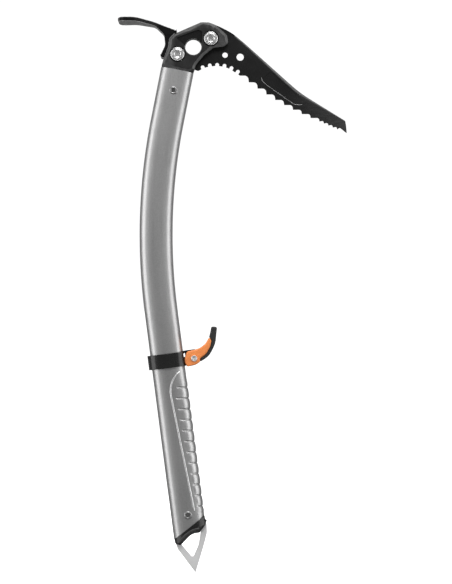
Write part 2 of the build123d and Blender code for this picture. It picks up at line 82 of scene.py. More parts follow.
class Shader:
    """A material's node tree, with short calls for the nodes that the materials share."""

    def __init__(self, name):
        self.material = bpy.data.materials.new(name)
        self.material.use_nodes = True
        self.tree = self.material.node_tree
        self.tree.nodes.clear()
        self.output = self.tree.nodes.new("ShaderNodeOutputMaterial")
        self.bsdf = self.tree.nodes.new("ShaderNodeBsdfPrincipled")
        self.link(self.bsdf.outputs["BSDF"], self.output.inputs["Surface"])
        self.place = self.tree.nodes.new("ShaderNodeTexCoord").outputs["Object"]

    def link(self, source, target):
        self.tree.links.new(source, target)

    def put(self, socket, value):
        if hasattr(value, "is_output"):
            self.link(value, socket)
        else:
            socket.default_value = value

    def set(self, **values):
        for name, value in values.items():
            self.put(self.bsdf.inputs[name.replace("_", " ")], value)

    def mapping(self, scale=(1, 1, 1), rotation=(0, 0, 0)):
        node = self.tree.nodes.new("ShaderNodeMapping")
        node.inputs["Scale"].default_value = scale
        node.inputs["Rotation"].default_value = rotation
        self.link(self.place, node.inputs["Vector"])
        return node.outputs["Vector"]

    def noise(self, scale, detail=3.0, vector=None, roughness=0.5):
        node = self.tree.nodes.new("ShaderNodeTexNoise")
        node.inputs["Scale"].default_value = scale
        node.inputs["Detail"].default_value = detail
        node.inputs["Roughness"].default_value = roughness
        self.link(vector or self.place, node.inputs["Vector"])
        return node.outputs["Fac"]

    def cells(self, scale):
        node = self.tree.nodes.new("ShaderNodeTexVoronoi")
        node.inputs["Scale"].default_value = scale
        self.link(self.place, node.inputs["Vector"])
        return node.outputs["Distance"]

    def math(self, operation, a, b=0.5):
        node = self.tree.nodes.new("ShaderNodeMath")
        node.operation = operation
        self.put(node.inputs[0], a)
        self.put(node.inputs[1], b)
        return node.outputs[0]

    def remap(self, value, low, high, to_low, to_high):
        node = self.tree.nodes.new("ShaderNodeMapRange")
        self.link(value, node.inputs["Value"])
        node.inputs["From Min"].default_value = low
        node.inputs["From Max"].default_value = high
        node.inputs["To Min"].default_value = to_low
        node.inputs["To Max"].default_value = to_high
        return node.outputs["Result"]

    def mix(self, factor, a, b):
        node = self.tree.nodes.new("ShaderNodeMix")
        node.data_type = "RGBA"
        self.put(node.inputs["Factor"], factor)
        self.put(node.inputs["A"], a)
        self.put(node.inputs["B"], b)
        return node.outputs["Result"]

    def mix_value(self, factor, a, b):
        node = self.tree.nodes.new("ShaderNodeMix")
        self.put(node.inputs["Factor"], factor)
        self.put(node.inputs["A"], a)
        self.put(node.inputs["B"], b)
        return node.outputs["Result"]

    def bump(self, height, strength, distance):
        node = self.tree.nodes.new("ShaderNodeBump")
        node.inputs["Strength"].default_value = strength
        node.inputs["Distance"].default_value = distance
        self.link(height, node.inputs["Height"])
        if self.bsdf.inputs["Normal"].is_linked:
            self.link(self.bsdf.inputs["Normal"].links[0].from_socket, node.inputs["Normal"])
        self.link(node.outputs["Normal"], self.bsdf.inputs["Normal"])

    def axis(self, name):
        node = self.tree.nodes.new("ShaderNodeSeparateXYZ")
        self.link(self.place, node.inputs["Vector"])
        return node.outputs[name]

    def facing(self, name):
        """One component of the surface's own direction."""
        node = self.tree.nodes.new("ShaderNodeSeparateXYZ")
        self.link(self.tree.nodes.new("ShaderNodeTexCoord").outputs["Normal"], node.inputs["Vector"])
        return node.outputs[name]

    def bevel_highlight(self, lowest):
        """1 on bevels that face no lower than the given slope, where a highlight is painted; 0 on flat
        faces, on cut edges and below the lowest upward slope.
        """
        sideways = self.math("ABSOLUTE", self.facing("Y"))
        not_flat = self.remap(sideways, 0.985, 0.955, 0.0, 1.0)
        not_edge = self.remap(sideways, 0.25, 0.50, 0.0, 1.0)
        upward = self.remap(self.facing("Z"), lowest, lowest + 0.15, 0.0, 1.0)
        return self.math("MULTIPLY", self.math("MULTIPLY", not_flat, not_edge), upward)


def grey(level):
    return (level, level, level, 1.0)


# ---------------------------------------------------------------- materials


def shaft_material():
    """Satin anodised aluminium: a fine bead-blast grain with faint drawing lines along the tube."""
    s = Shader("anodised_shaft")
    grain = s.noise(2600.0, 2.0)
    cloud = s.noise(22.0, 4.0)
    speckle = s.noise(950.0, 2.0)
    draw = s.noise(160.0, 3.0, s.mapping((9.0, 9.0, 0.12), (0, radians(-2), 0)))
    tone = s.mix(s.remap(cloud, 0.3, 0.7, 0.0, 1.0), grey(0.40), grey(0.46))
    blasted = s.math("ADD", s.math("MULTIPLY", grain, 0.4), s.math("MULTIPLY", speckle, 0.6))
    s.set(Base_Color=s.mix(s.remap(blasted, 0.35, 0.65, 0.0, 0.6), tone, grey(0.56)))
    s.set(Metallic=1.0)
    lines = s.math("ADD", s.math("MULTIPLY", grain, 0.6), s.math("MULTIPLY", draw, 0.4))
    s.set(Roughness=s.remap(lines, 0.3, 0.7, 0.36, 0.48))
    s.bump(grain, 0.16, 0.00008)
    s.bump(speckle, 0.22, 0.0002)
    s.bump(draw, 0.05, 0.0001)
    return s.material


def coated_steel(name, dark, light, roughness, wear=0.0, specular=0.3):
    """Black coated forged steel: mottled scale, fine grain, and bare metal on sharp edges."""
    s = Shader(name)
    mottle = s.noise(90.0, 5.0, roughness=0.65)
    grain = s.noise(1500.0, 3.0)
    base = s.mix(s.remap(mottle, 0.35, 0.65, 0.0, 1.0), grey(dark), grey(light))
    edge = s.remap(s.noise(260.0, 5.0), 0.45, 0.75, 0.0, wear)
    s.colour = s.mix(edge, base, grey(0.22))
    s.set(Base_Color=s.colour)
    s.set(Metallic=0.2)
    s.set(Specular_IOR_Level=specular)
    speckle = s.math("ADD", s.math("MULTIPLY", grain, 0.5), s.math("MULTIPLY", mottle, 0.5))
    s.rough = s.remap(speckle, 0.35, 0.65, roughness - 0.07, roughness + 0.07)
    s.set(Roughness=s.rough)
    s.bump(grain, 0.10, 0.0001)
    s.bump(mottle, 0.10, 0.0005)
    return s


def head_material():
    """The head's cheeks: painted highlight lightens the bevels that don't face down and the front and rear
    ends, and painted shade darkens the recessed facet of the near face to deep black.
    """
    s = coated_steel("head_coating", 0.014, 0.024, 0.46)
    highlight_mottle = s.remap(s.noise(180.0, 5.0), 0.3, 0.7, 0.55, 1.0)
    # Painted highlight: bevels that don't face down are lightened to grey, broken up by noise.
    s.colour = s.mix(s.math("MULTIPLY", s.bevel_highlight(-0.75), highlight_mottle), s.colour, grey(0.125))
    # Painted highlight: the front and rear ends of the head are lightened, where light falls on the lower
    # front bevel and on the rear flank.
    front = s.remap(s.axis("X"), 0.0165, 0.0245, 0, 1)
    rear = s.remap(s.axis("X"), -0.0165, -0.0215, 0, 1)
    ends = s.math("MAXIMUM", front, rear)
    s.colour = s.mix(s.math("MULTIPLY", ends, s.math("MULTIPLY", highlight_mottle, 0.55)), s.colour, grey(0.105))
    # Painted shade: the recessed facet on the near face is darkened almost to black and made rougher.
    depth = s.math("ABSOLUTE", s.math("SUBTRACT", s.math("ABSOLUTE", s.axis("Y")), 0.0084))
    at_depth = s.remap(depth, 0.00006, 0.00012, 1.0, 0.0)
    near_face = s.remap(s.facing("Y"), -0.97, -0.99, 0.0, 1.0)
    sunk = s.math("MULTIPLY", at_depth, near_face)
    s.colour = s.mix(sunk, s.colour, grey(0.0035))
    s.set(Base_Color=s.colour)
    s.set(Roughness=s.mix_value(sunk, s.rough, 0.75))
    return s.material


def pick_material():
    """The pick: hard black coating, a lighter strip of painted highlight on the upward-facing bevels along
    the back, and a point that turns lighter grey towards its tip.
    """
    s = coated_steel("pick_coating", 0.0035, 0.0055, 0.50)
    streak_noise = s.noise(420.0, 4.0, s.mapping((0.35, 1.0, 1.6), (0, radians(38), 0)))
    # The point turns lighter grey towards its tip, broken up by streaky noise.
    towards_tip = s.remap(s.axis("X"), 0.088, 0.140, 0.0, 1.0)
    tip_lightening = s.math("MULTIPLY", towards_tip, s.remap(streak_noise, 0.35, 0.65, 0.6, 1.0))
    s.colour = s.mix(tip_lightening, s.colour, grey(0.040))
    # Painted highlight: upward-facing bevels along the pick's back are lightened to grey.
    painted_highlight_strip = s.math("MULTIPLY", s.bevel_highlight(-0.05), s.remap(streak_noise, 0.3, 0.6, 0.7, 1.0))
    s.colour = s.mix(painted_highlight_strip, s.colour, grey(0.13))
    s.set(Base_Color=s.colour)
    return s.material


def bright_steel(name, level=0.92, roughness=0.24):
    """Zinc plated steel with turning marks and small scratches."""
    s = Shader(name)
    grain = s.noise(1800.0, 3.0)
    patch = s.noise(300.0, 3.0)
    s.set(Base_Color=s.mix(s.remap(patch, 0.3, 0.7, 0.0, 1.0), grey(level * 0.8), grey(level)))
    s.set(Metallic=1.0)
    s.set(Roughness=s.remap(grain, 0.3, 0.7, roughness - 0.06, roughness + 0.1))
    s.bump(grain, 0.15, 0.0001)
    return s.material


def blasted_steel():
    """Bead-blasted stainless steel of the spike."""
    s = Shader("blasted_steel")
    grain = s.noise(2200.0, 2.0)
    cloud = s.noise(60.0, 4.0)
    s.set(Base_Color=s.mix(s.remap(cloud, 0.3, 0.7, 0.0, 1.0), grey(0.78), grey(0.86)))
    s.set(Metallic=0.3)
    s.set(Roughness=s.remap(grain, 0.3, 0.7, 0.5, 0.62))
    s.bump(grain, 0.22, 0.0001)
    return s.material


def moulded(name, colour, roughness, tint):
    """Moulded plastic or rubber with a fine spark-eroded texture."""
    s = Shader(name)
    grain = s.cells(1400.0)
    cloud = s.noise(70.0, 3.0)
    s.set(Base_Color=s.mix(s.remap(cloud, 0.3, 0.7, 0.0, 1.0), colour, tint))
    s.set(Roughness=s.remap(s.noise(700.0, 3.0), 0.3, 0.7, roughness - 0.05, roughness + 0.07))
    s.bump(grain, 0.18, 0.00012)
    return s.material


SHAFT = shaft_material()
BEAD = bright_steel("worn_bead", 0.86, 0.32)
# Painted highlight: a bright steel for the rim that stands for the lit lower ledge of the pick's pocket.
POCKET_LEDGE_HIGHLIGHT = bright_steel("pocket_ledge_painted_highlight", 0.30, 0.40)
HEAD = head_material()
HEAD_EDGE = coated_steel("head_edge", 0.045, 0.065, 0.42, 0.4).material
PICK = pick_material()
PICK_EDGE = coated_steel("pick_edge", 0.020, 0.035, 0.42, 0.4).material
ADZE = coated_steel("adze_coating", 0.0035, 0.0055, 0.40, 0.0, 0.16).material
# Partly edge wear and partly painted highlight: the adze's rounded edges get a light grey that stands for
# the lit near edge of the blade.
ADZE_EDGE_WEAR_AND_HIGHLIGHT = coated_steel("adze_edge_wear_and_painted_highlight", 0.26, 0.38, 0.30, 0.4, 0.5).material
BOLT = bright_steel("zinc_plate")
PIVOT_STEEL = bright_steel("pivot_steel", 0.95, 0.42)
RIVET = bright_steel("rivet_steel", 0.42, 0.36)
SPIKE = blasted_steel()
PLASTIC = moulded("black_plastic", grey(0.007), 0.24, grey(0.010))
ORANGE = moulded("orange_plastic", (0.97, 0.30, 0.085, 1.0), 0.34, (1.0, 0.34, 0.10, 1.0))
# Painted highlight: a lighter plastic for the plug's ridge, standing for the highlight along it.
PLUG_RIDGE_HIGHLIGHT = moulded("plug_ridge_painted_highlight", grey(0.045), 0.34, grey(0.06))
RUBBER = moulded("black_rubber", grey(0.016), 0.52, grey(0.022))

FINISHES = {
    "shaft": SHAFT,
    "head": HEAD,
    "pick": PICK,
    "adze": ADZE,
    "front_bolt": BOLT,
    "rear_bolt": BOLT,
    "front_nut": BOLT,
    "rear_nut": BOLT,
    "head_rivet": RIVET,
    "spike_rivet": RIVET,
    "spike": SPIKE,
    "end_plug": PLASTIC,
    "rest_band": PLASTIC,
    "rest_lever": ORANGE,
    "lever_overmould": RUBBER,
    "pivot_sleeve": BOLT,
    "pivot_screw": BOLT,
}


# Width of the small rounded edge, the edge's own material, and whether it narrows to fit short edges.
EDGES = {
    "head": (0.35 * MM, HEAD_EDGE, True),
    "pick": (0.30 * MM, PICK_EDGE, True),
    "adze": (0.42 * MM, ADZE_EDGE_WEAR_AND_HIGHLIGHT, False),
    "end_plug": (0.40 * MM, None, True),
    "rest_band": (0.80 * MM, None, True),
    "spike": (0.25 * MM, None, True),
}
WELD_GAP = 0.002 * MM
EDGE_SEGMENTS = 2
SMOOTH_UP_TO = radians(25)
BEVEL_FROM = radians(35)
SPLIT_FROM = radians(32)


def round_edges(obj, width, edge_material, narrows):
    """Rounds a CAD node's sharp edges with modifiers, and keeps its flat faces shaded flat."""
    weld = obj.modifiers.new("weld", "WELD")
    weld.merge_threshold = WELD_GAP
    bevel = obj.modifiers.new("edge", "BEVEL")
    bevel.width = width
    bevel.segments = EDGE_SEGMENTS
    bevel.limit_method = "ANGLE"
    bevel.angle_limit = BEVEL_FROM
    bevel.use_clamp_overlap = narrows
    if edge_material:
        obj.data.materials.append(edge_material)
        bevel.material = 1
    split = obj.modifiers.new("split", "EDGE_SPLIT")
    split.split_angle = SPLIT_FROM
    split.use_edge_sharp = False
    weighted = obj.modifiers.new("flat", "WEIGHTED_NORMAL")
    weighted.weight = 90
    weighted.keep_sharp = True


def finish_node(name):
    """Gives a CAD node its material and smooth shading up to an angle."""
    obj = nodes[name]
    obj.data.materials.clear()
    obj.data.materials.append(FINISHES[name])
    obj.data.polygons.foreach_set("use_smooth", [True] * len(obj.data.polygons))
    obj.data.set_sharp_from_angle(angle=SMOOTH_UP_TO)


for node_name in FINISHES:
    finish_node(node_name)
for node_name, edge in EDGES.items():
    round_edges(nodes[node_name], *edge)

# ---------------------------------------------------------------- mesh helpers

BEAD_FOOT = 0.4
BEAD_SINK = 0.02
CUT_SHARP_FROM = radians(50)


def new_piece(name, vertices, faces, material, body, replaced, sharp_angle=40):
    """One smooth mesh from millimetre points, which rides on a body and may stand in for CAD nodes."""
    mesh = bpy.data.meshes.new(name)
    mesh.from_pydata([Vector(point) * MM for point in vertices], [], faces)
    mesh.materials.append(material)
    obj = bpy.data.objects.new(name, mesh)
    bpy.context.scene.collection.objects.link(obj)
    shape = bmesh.new()
    shape.from_mesh(mesh)
    bmesh.ops.remove_doubles(shape, verts=shape.verts, dist=0.002 * MM)
    bmesh.ops.recalc_face_normals(shape, faces=shape.faces)
    for face in shape.faces:
        face.smooth = True
    shape.to_mesh(mesh)
    shape.free()
    mesh.set_sharp_from_angle(angle=radians(sharp_angle))
    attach(obj, body)
    if replaced:
        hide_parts(*replaced)
    return obj


def near_or_far(side):
    return "near" if side < 0 else "far"


def grid_faces(rows, columns, wrap_rows=False):
    """Quads between neighbouring rings of points; each ring closes on itself."""
    faces = []
    for row in range(rows if wrap_rows else rows - 1):
        below = row * columns
        above = ((row + 1) % rows) * columns
        for column in range(columns):
            beside = (column + 1) % columns
            faces.append((below + column, below + beside, above + beside, above + column))
    return faces


def capped_faces(rows, columns):
    """Quads between rings that close on themselves, and a face over the first ring and the last."""
    faces = grid_faces(rows, columns)
    faces.append(tuple(range(columns)))
    faces.append(tuple(range((rows - 1) * columns, rows * columns)))
    return faces


def smooth_step(value):
    value = min(max(value, 0.0), 1.0)
    return value * value * (3 - 2 * value)


def cut_round_hole(obj, place, radius, length=40):
    """Cuts a round hole along Y through a piece, or out of the middle of it when length is short."""
    cutter = bpy.data.meshes.new("cutter")
    shape = bmesh.new()
    size = radius * MM
    depth = length * MM
    bmesh.ops.create_cone(shape, cap_ends=True, segments=48, radius1=size, radius2=size, depth=depth)
    bmesh.ops.rotate(shape, matrix=Matrix.Rotation(radians(90), 3, "X"), verts=shape.verts)
    bmesh.ops.translate(shape, vec=(place[0] * MM, 0, place[1] * MM), verts=shape.verts)
    shape.to_mesh(cutter)
    shape.free()
    tool = bpy.data.objects.new("cutter", cutter)
    bpy.context.scene.collection.objects.link(tool)
    boolean = obj.modifiers.new("hole", "BOOLEAN")
    boolean.operation = "DIFFERENCE"
    boolean.solver = "EXACT"
    boolean.object = tool
    bpy.context.view_layer.update()
    evaluated = obj.evaluated_get(bpy.context.evaluated_depsgraph_get())
    result = bpy.data.meshes.new_from_object(evaluated)
    obj.modifiers.clear()
    old = obj.data
    obj.data = result
    bpy.data.meshes.remove(old)
    bpy.data.objects.remove(tool)
    bpy.data.meshes.remove(cutter)
    result.set_sharp_from_angle(angle=CUT_SHARP_FROM)


def curve_points(corners, steps):
    """Points along a cubic curve with four corners, without its last point."""
    a, b, c, d = (Vector(corner) for corner in corners)
    points = []
    for step in range(steps):
        t = step / steps
        u = 1 - t
        points.append(a * u ** 3 + b * 3 * u * u * t + c * 3 * u * t * t + d * t ** 3)
    return points


def straight_points(start, end, steps):
    return [Vector(start).lerp(Vector(end), step / steps) for step in range(steps + 1)]


def make_bead(name, line, surface, half, height, material):
    """A low half-round bead with rounded ends, laid along a line on a surface."""
    around = 10
    foot = (-0.8, 0.8)
    rows = []
    for index, middle in enumerate(line):
        ahead = line[min(index + 1, len(line) - 1)]
        behind = line[max(index - 1, 0)]
        rows.append((middle, (ahead - behind).normalized(), 1.0))
    first, last = rows[0], rows[-1]
    turns = [pi / 2 * step / 4 for step in range(4)]
    cap = [(half * cos(turn), max(sin(turn), 0.02)) for turn in turns]
    rows = [(first[0] - first[1] * reach, first[1], share) for reach, share in cap] + rows
    rows += [(last[0] + last[1] * reach, last[1], share) for reach, share in reversed(cap)]
    vertices = []
    for middle, way, share in rows:
        across = Vector((-way.y, way.x)) * half * share
        for step in range(around):
            angle = pi * step / (around - 1)
            point, outward = surface(middle + across * cos(angle))
            vertices.append(point + outward * (height * sin(angle) * share - BEAD_SINK))
        for edge in foot:
            point, outward = surface(middle + across * edge)
            vertices.append(point - outward * BEAD_FOOT)
    faces = capped_faces(len(rows), around + len(foot))
    new_piece(name, vertices, faces, material, "axe", (), 70)


def flat_face(half, side):
    """The surface that a bead lies on, where it is a flat near or far face."""

    def surface(spot):
        return Vector((spot.x, side * half, spot.y)), Vector((0, side, 0))

    return surface


# ---------------------------------------------------------------- shaft

SHAFT_HALF_WIDTH = 15.7
SHAFT_HALF_THICKNESS = 10.0
SHAFT_EDGE_RADIUS = 8.8
SHAFT_WALL = 1.7
UPPER_LEAN = radians(11.2)
LOWER_LEAN = radians(7.4)
BEND_RADIUS = 551.0
BEND_CORNER = Vector((-42.3, 0, -158.9))
SHAFT_TOP_Z = -21.65
SHAFT_END_ALONG = 297.8
SHAFT_END_SLANT = -0.588
RING_POINTS = 32
GROOVES = 12
GROOVE_PITCH = 10.2
GROOVE_DEPTH = 0.45
GROOVE_BULGE = 0.40
FIRST_GROOVE_Z = -321.6
GROOVE_RING_STEPS = (0.0, 0.25, 0.5, 0.8, 1.15, 1.6, 2.3, 3.2, 4.2)
GRIP_LINE_TOP = (-0.76, 173.5)
GRIP_LINE_END = (7.0, 282.0)
GRIP_LINE_CURL = ((9.8, 150.5), (3.5, 154.5), (-1.6, 162.5))
BEAD_HALF = 0.75
BEAD_HEIGHT = 0.40
HEAD_RIVET = (-18.7, -41.3)
SPIKE_RIVET = (-4.9, -442.3)
RIVET_RADIUS = 3.0

# The wide sides of the section are arcs. Their centres lie SIDE_DROP past the shaft's middle.
SIDE_RISE = SHAFT_HALF_THICKNESS - SHAFT_EDGE_RADIUS
SIDE_RUN = SHAFT_HALF_WIDTH - SHAFT_EDGE_RADIUS
SIDE_DROP = (SIDE_RUN ** 2 - SIDE_RISE ** 2) / (2 * SIDE_RISE)
UP = Vector((sin(UPPER_LEAN), 0, cos(UPPER_LEAN)))
DOWN = Vector((sin(LOWER_LEAN), 0, -cos(LOWER_LEAN)))
BEND_TANGENT = BEND_RADIUS * tan((UPPER_LEAN + LOWER_LEAN) / 2)


def oval_points(grow=0.0):
    """The shaft's section: four tangent arcs, sampled evenly round each."""
    edge = SHAFT_EDGE_RADIUS + grow
    side = SHAFT_HALF_THICKNESS + grow + SIDE_DROP
    joint = atan2(SIDE_RUN, SIDE_DROP)
    points = []
    for quarter in (1, -1):
        for step in range(RING_POINTS):
            angle = -joint + 2 * joint * step / RING_POINTS
            points.append((quarter * side * sin(angle), quarter * (side * cos(angle) - SIDE_DROP)))
        for step in range(RING_POINTS):
            angle = pi / 2 - joint - (pi - 2 * joint) * step / RING_POINTS
            points.append((quarter * (SIDE_RUN + edge * cos(angle)), quarter * edge * sin(angle)))
    return points


def forward_of(along):
    """The direction of +x in the section whose axis points down along."""
    return Vector((-along.z, 0, along.x))


def shaft_rings():
    """(point on the axis, direction down the axis, slant) for every ring, from the head to the spike."""
    rings = []
    bend_start = BEND_CORNER + UP * BEND_TANGENT
    top = BEND_CORNER + UP * ((SHAFT_TOP_Z - BEND_CORNER.z) / UP.z)
    steps = 8
    for step in range(steps):
        rings.append((top.lerp(bend_start, step / steps), -UP, 0.0))
    turn = UPPER_LEAN + LOWER_LEAN
    centre = bend_start + forward_of(-UP) * BEND_RADIUS
    steps = 48
    for step in range(steps):
        spin = Matrix.Rotation(-turn * step / steps, 3, "Y")
        rings.append((centre + spin @ (bend_start - centre), spin @ -UP, 0.0))
    level = tan(LOWER_LEAN)
    first = (FIRST_GROOVE_Z - BEND_CORNER.z) / DOWN.z
    pitch = GROOVE_PITCH / -DOWN.z
    start = first - pitch / 2
    steps = 24
    for step in range(steps):
        along = BEND_TANGENT + (start - BEND_TANGENT) * step / steps
        rings.append((BEND_CORNER + DOWN * along, DOWN, level * smooth_step(step / steps)))
    for number in range(GROOVES):
        offsets = [-step for step in reversed(GROOVE_RING_STEPS[1:])] + list(GROOVE_RING_STEPS)
        for offset in offsets:
            rings.append((BEND_CORNER + DOWN * (first + number * pitch + offset), DOWN, level))
    last = first + (GROOVES - 0.5) * pitch
    steps = 10
    for step in range(steps + 1):
        share = step / steps
        along = last + (SHAFT_END_ALONG - last) * share
        rings.append((BEND_CORNER + DOWN * along, DOWN, level + (SHAFT_END_SLANT - level) * share))
    return rings


def grip_line_x(along):
    """How far forward the raised line of the grip lies, at a distance down the lower shaft."""
    slope = (GRIP_LINE_END[0] - GRIP_LINE_TOP[0]) / (GRIP_LINE_END[1] - GRIP_LINE_TOP[1])
    return GRIP_LINE_TOP[0] + slope * (along - GRIP_LINE_TOP[1])


def grip_relief(point, x):
    """How far the grip's surface stands above the plain tube: grooves, and soft bulges between them."""
    along = (point - BEND_CORNER).dot(DOWN)
    place = (FIRST_GROOVE_Z - point.z) / GROOVE_PITCH
    if place < -0.6 or place > GROOVES - 0.4:
        return 0.0
    curl = 3.2 * smooth_step((174.0 - along) / 8)
    fade = smooth_step((x - grip_line_x(along) - 3.6 - curl) / 1.6)
    offset = (place - round(place)) * GROOVE_PITCH
    lift = GROOVE_BULGE * smooth_step(abs(offset) / (GROOVE_PITCH / 2)) * smooth_step((x - 6) / 8)
    ends = smooth_step((place + 0.6) * 4) * smooth_step((GROOVES - 0.4 - place) * 4)
    valley = GROOVE_DEPTH * exp(-((offset / 0.62) ** 4))
    return fade * (lift * ends - valley)


def make_shaft():
    """The bent tube with the grooved grip pressed into its lower front, and its rivet holes."""
    outside = oval_points()
    inside = oval_points(-SHAFT_WALL)
    vertices = []
    rings = shaft_rings()
    for origin, along, slant in rings:
        forward = forward_of(along)
        for index, (x, y) in enumerate(outside):
            point = origin + (forward + along * slant) * x + Vector((0, y, 0))
            ahead = outside[(index + 1) % len(outside)]
            behind = outside[index - 1]
            tangent = Vector((ahead[0] - behind[0], ahead[1] - behind[1])).normalized()
            relief = grip_relief(point, x) if along == DOWN else 0.0
            vertices.append(point + (forward * -tangent.y + Vector((0, tangent.x, 0))) * relief)
    for origin, along, slant in reversed(rings[::6] + rings[-1:]):
        forward = forward_of(along)
        for x, y in inside:
            vertices.append(origin + (forward + along * slant) * x + Vector((0, y, 0)))
    faces = grid_faces(len(vertices) // len(outside), len(outside), True)
    shaft = new_piece("shaft_tube", vertices, faces, SHAFT, "axe", ("shaft",), 50)
    for place in (HEAD_RIVET, SPIKE_RIVET):
        cut_round_hole(shaft, place, RIVET_RADIUS)


def shaft_surface(x, along, side):
    """A point on the shaft's near or far face, and the outward direction there."""
    radius = SHAFT_HALF_THICKNESS + SIDE_DROP
    y = sqrt(radius * radius - x * x) - SIDE_DROP
    forward = forward_of(DOWN)
    point = BEND_CORNER + DOWN * along + forward * x + Vector((0, side * y, 0))
    outward = (forward * x + Vector((0, side * (y + SIDE_DROP), 0))).normalized()
    return point, outward


def make_grip_line(side):
    """The raised line of the grip: a curl below the hand rest, then straight down."""
    line = curve_points(GRIP_LINE_CURL + (GRIP_LINE_TOP,), 24)
    line += straight_points(GRIP_LINE_TOP, GRIP_LINE_END, 40)

    def surface(spot):
        return shaft_surface(spot.x, spot.y, side)

    name = "grip_line_" + near_or_far(side)
    make_bead(name, line, surface, BEAD_HALF, BEAD_HEIGHT, BEAD)


make_shaft()

# ---------------------------------------------------------------- pick's pocket

PICK_HALF = 2.0
POCKET_LINE_HALF = 0.30
POCKET_LINE_HEIGHT = 0.14
POCKET_CURL = ((64.6, -29.2), (64.9, -31.6), (66.2, -33.4), (69.5, -35.9))
POCKET_TURN = ((92.5, -52.2), (95.6, -54.4), (98.2, -54.8), (102.8, -54.4))


def make_pocket_line(side):
    """The fine raised rim along the lower side of the pick's shallow pocket: its bright steel is a painted
    highlight of the pocket's lit lower ledge.
    """
    line = curve_points(POCKET_CURL, 10) + straight_points(POCKET_CURL[-1], POCKET_TURN[0], 12)[:-1]
    line += curve_points(POCKET_TURN, 10) + [Vector(POCKET_TURN[-1])]
    name = "pocket_line_" + near_or_far(side)
    face = flat_face(PICK_HALF, side)
    make_bead(name, line, face, POCKET_LINE_HALF, POCKET_LINE_HEIGHT, POCKET_LEDGE_HIGHLIGHT)


for face_side in (-1, 1):
    make_grip_line(face_side)
    make_pocket_line(face_side)

# ---------------------------------------------------------------- bolts, rivets and the pivot

REAR_BOLT = (-14.9, -7.0)
FRONT_BOLT = (16.7, 7.7)
PIVOT = (0.85, -294.3)
BOLT_POINTS = 144
BOLT_TOP = -11.0
THREAD_START = 4.0
THREAD_END = 10.0
THREAD_PITCH = 1.25
THREAD_CREST = 3.95
THREAD_ROOT = 3.55
RIVET_BORE_DEPTH = 4.0
TURNED_SHARP = 28


def hexagon_radius(angle, flats):
    """Distance from the middle to a hexagon's side, in a direction."""
    return flats / 2 / cos((angle % (pi / 3)) - pi / 6)


def turned_piece(name, place, rings, material, replaced, body="axe"):
    """A turned piece along Y, ring by ring from the near end's middle: (y, radius, kind, size).

    A hex ring's radius is its width across flats. Size is how deep a ring of marks is cut.
    """
    vertices = []
    for y, radius, kind, size in rings:
        for step in range(BOLT_POINTS):
            angle = 2 * pi * step / BOLT_POINTS
            reach = radius
            depth = y
            if kind == "hex":
                reach = hexagon_radius(angle, radius)
            if kind == "marks":
                depth = y + size * (1 if (step // 2) % 2 else 0)
            vertices.append((place[0] + reach * cos(angle), depth, place[1] + reach * sin(angle)))
    faces = capped_faces(len(rings), BOLT_POINTS)
    new_piece(name, vertices, faces, material, body, replaced, TURNED_SHARP)


def make_bolt(name, place):
    """Low-head M8 screw: hex socket, inner rim, a ring of fine locking marks, shank and thread."""
    top = BOLT_TOP
    rings = [
        (top + 2.6, 2.0, "hex", 0),
        (top + 2.5, 5.0, "hex", 0),
        (top + 0.35, 5.0, "hex", 0),
        (top + 0.05, 3.25, "round", 0),
        (top, 3.35, "round", 0),
        (top, 4.05, "round", 0),
        (top + 0.28, 4.15, "round", 0),
        (top + 0.28, 4.4, "round", 0),
        (top + 0.02, 4.5, "round", 0),
        (top + 0.02, 4.7, "marks", 0.05),
        (top + 0.03, 5.0, "marks", 0.28),
        (top + 0.05, 5.9, "marks", 0.30),
        (top + 0.12, 6.05, "round", 0),
        (top + 0.25, 6.3, "round", 0),
        (top + 0.55, 6.46, "round", 0),
        (top + 0.9, 6.5, "round", 0),
        (-7.25, 6.5, "round", 0),
        (-7.0, 6.35, "round", 0),
        (-7.0, THREAD_CREST, "round", 0),
        (THREAD_START, THREAD_CREST, "round", 0),
    ]
    y = THREAD_START
    while y < THREAD_END:
        rings.append((y + 0.2, THREAD_CREST, "round", 0))
        rings.append((y + 0.6, THREAD_ROOT, "round", 0))
        rings.append((y + 1.0, THREAD_CREST, "round", 0))
        y += THREAD_PITCH
    rings.append((10.6, 3.9, "round", 0))
    rings.append((11.0, 3.5, "round", 0))
    turned_piece(name + "_screw", place, rings, BOLT, (name,))


def make_rivet(name, place):
    """A tubular rivet: a rolled rim round an open bore on each face of the shaft."""
    face = SHAFT_HALF_THICKNESS
    near = [
        (face - RIVET_BORE_DEPTH, 0.3),
        (face - RIVET_BORE_DEPTH, 1.85),
        (face + 0.25, 1.9),
        (face + 0.5, 2.05),
        (face + 0.66, 2.4),
        (face + 0.70, 2.8),
        (face + 0.62, 3.2),
        (face + 0.42, 3.6),
        (face + 0.15, 3.8),
        (face - 0.2, 3.8),
        (face - 0.2, 3.0),
    ]
    rings = [(-y, radius, "round", 0) for y, radius in near]
    rings += [(y, radius, "round", 0) for y, radius in reversed(near)]
    turned_piece(name + "_tube", place, rings, RIVET, (name,))


def make_pivot_screw():
    """The lever's screw: a bright rim, a dark ring inside it, and a small button with a hex socket."""
    rings = [
        (-8.3, 1.3, "hex", 0),
        (-9.0, 1.3, "hex", 0),
        (-9.1, 0.95, "round", 0),
        (-9.1, 1.35, "round", 0),
        (-8.95, 1.5, "round", 0),
        (-8.2, 1.5, "round", 0),
        (-8.2, 1.95, "round", 0),
        (-9.05, 2.0, "round", 0),
        (-9.2, 2.2, "round", 0),
        (-9.2, 2.6, "round", 0),
        (-9.05, 2.8, "round", 0),
        (-8.8, 2.85, "round", 0),
        (-7.6, 2.85, "round", 0),
        (-7.6, 1.45, "round", 0),
        (6.4, 1.45, "round", 0),
        (6.6, 1.2, "round", 0),
    ]
    turned_piece("pivot_button", PIVOT, rings, PIVOT_STEEL, ("pivot_screw",), "rest")


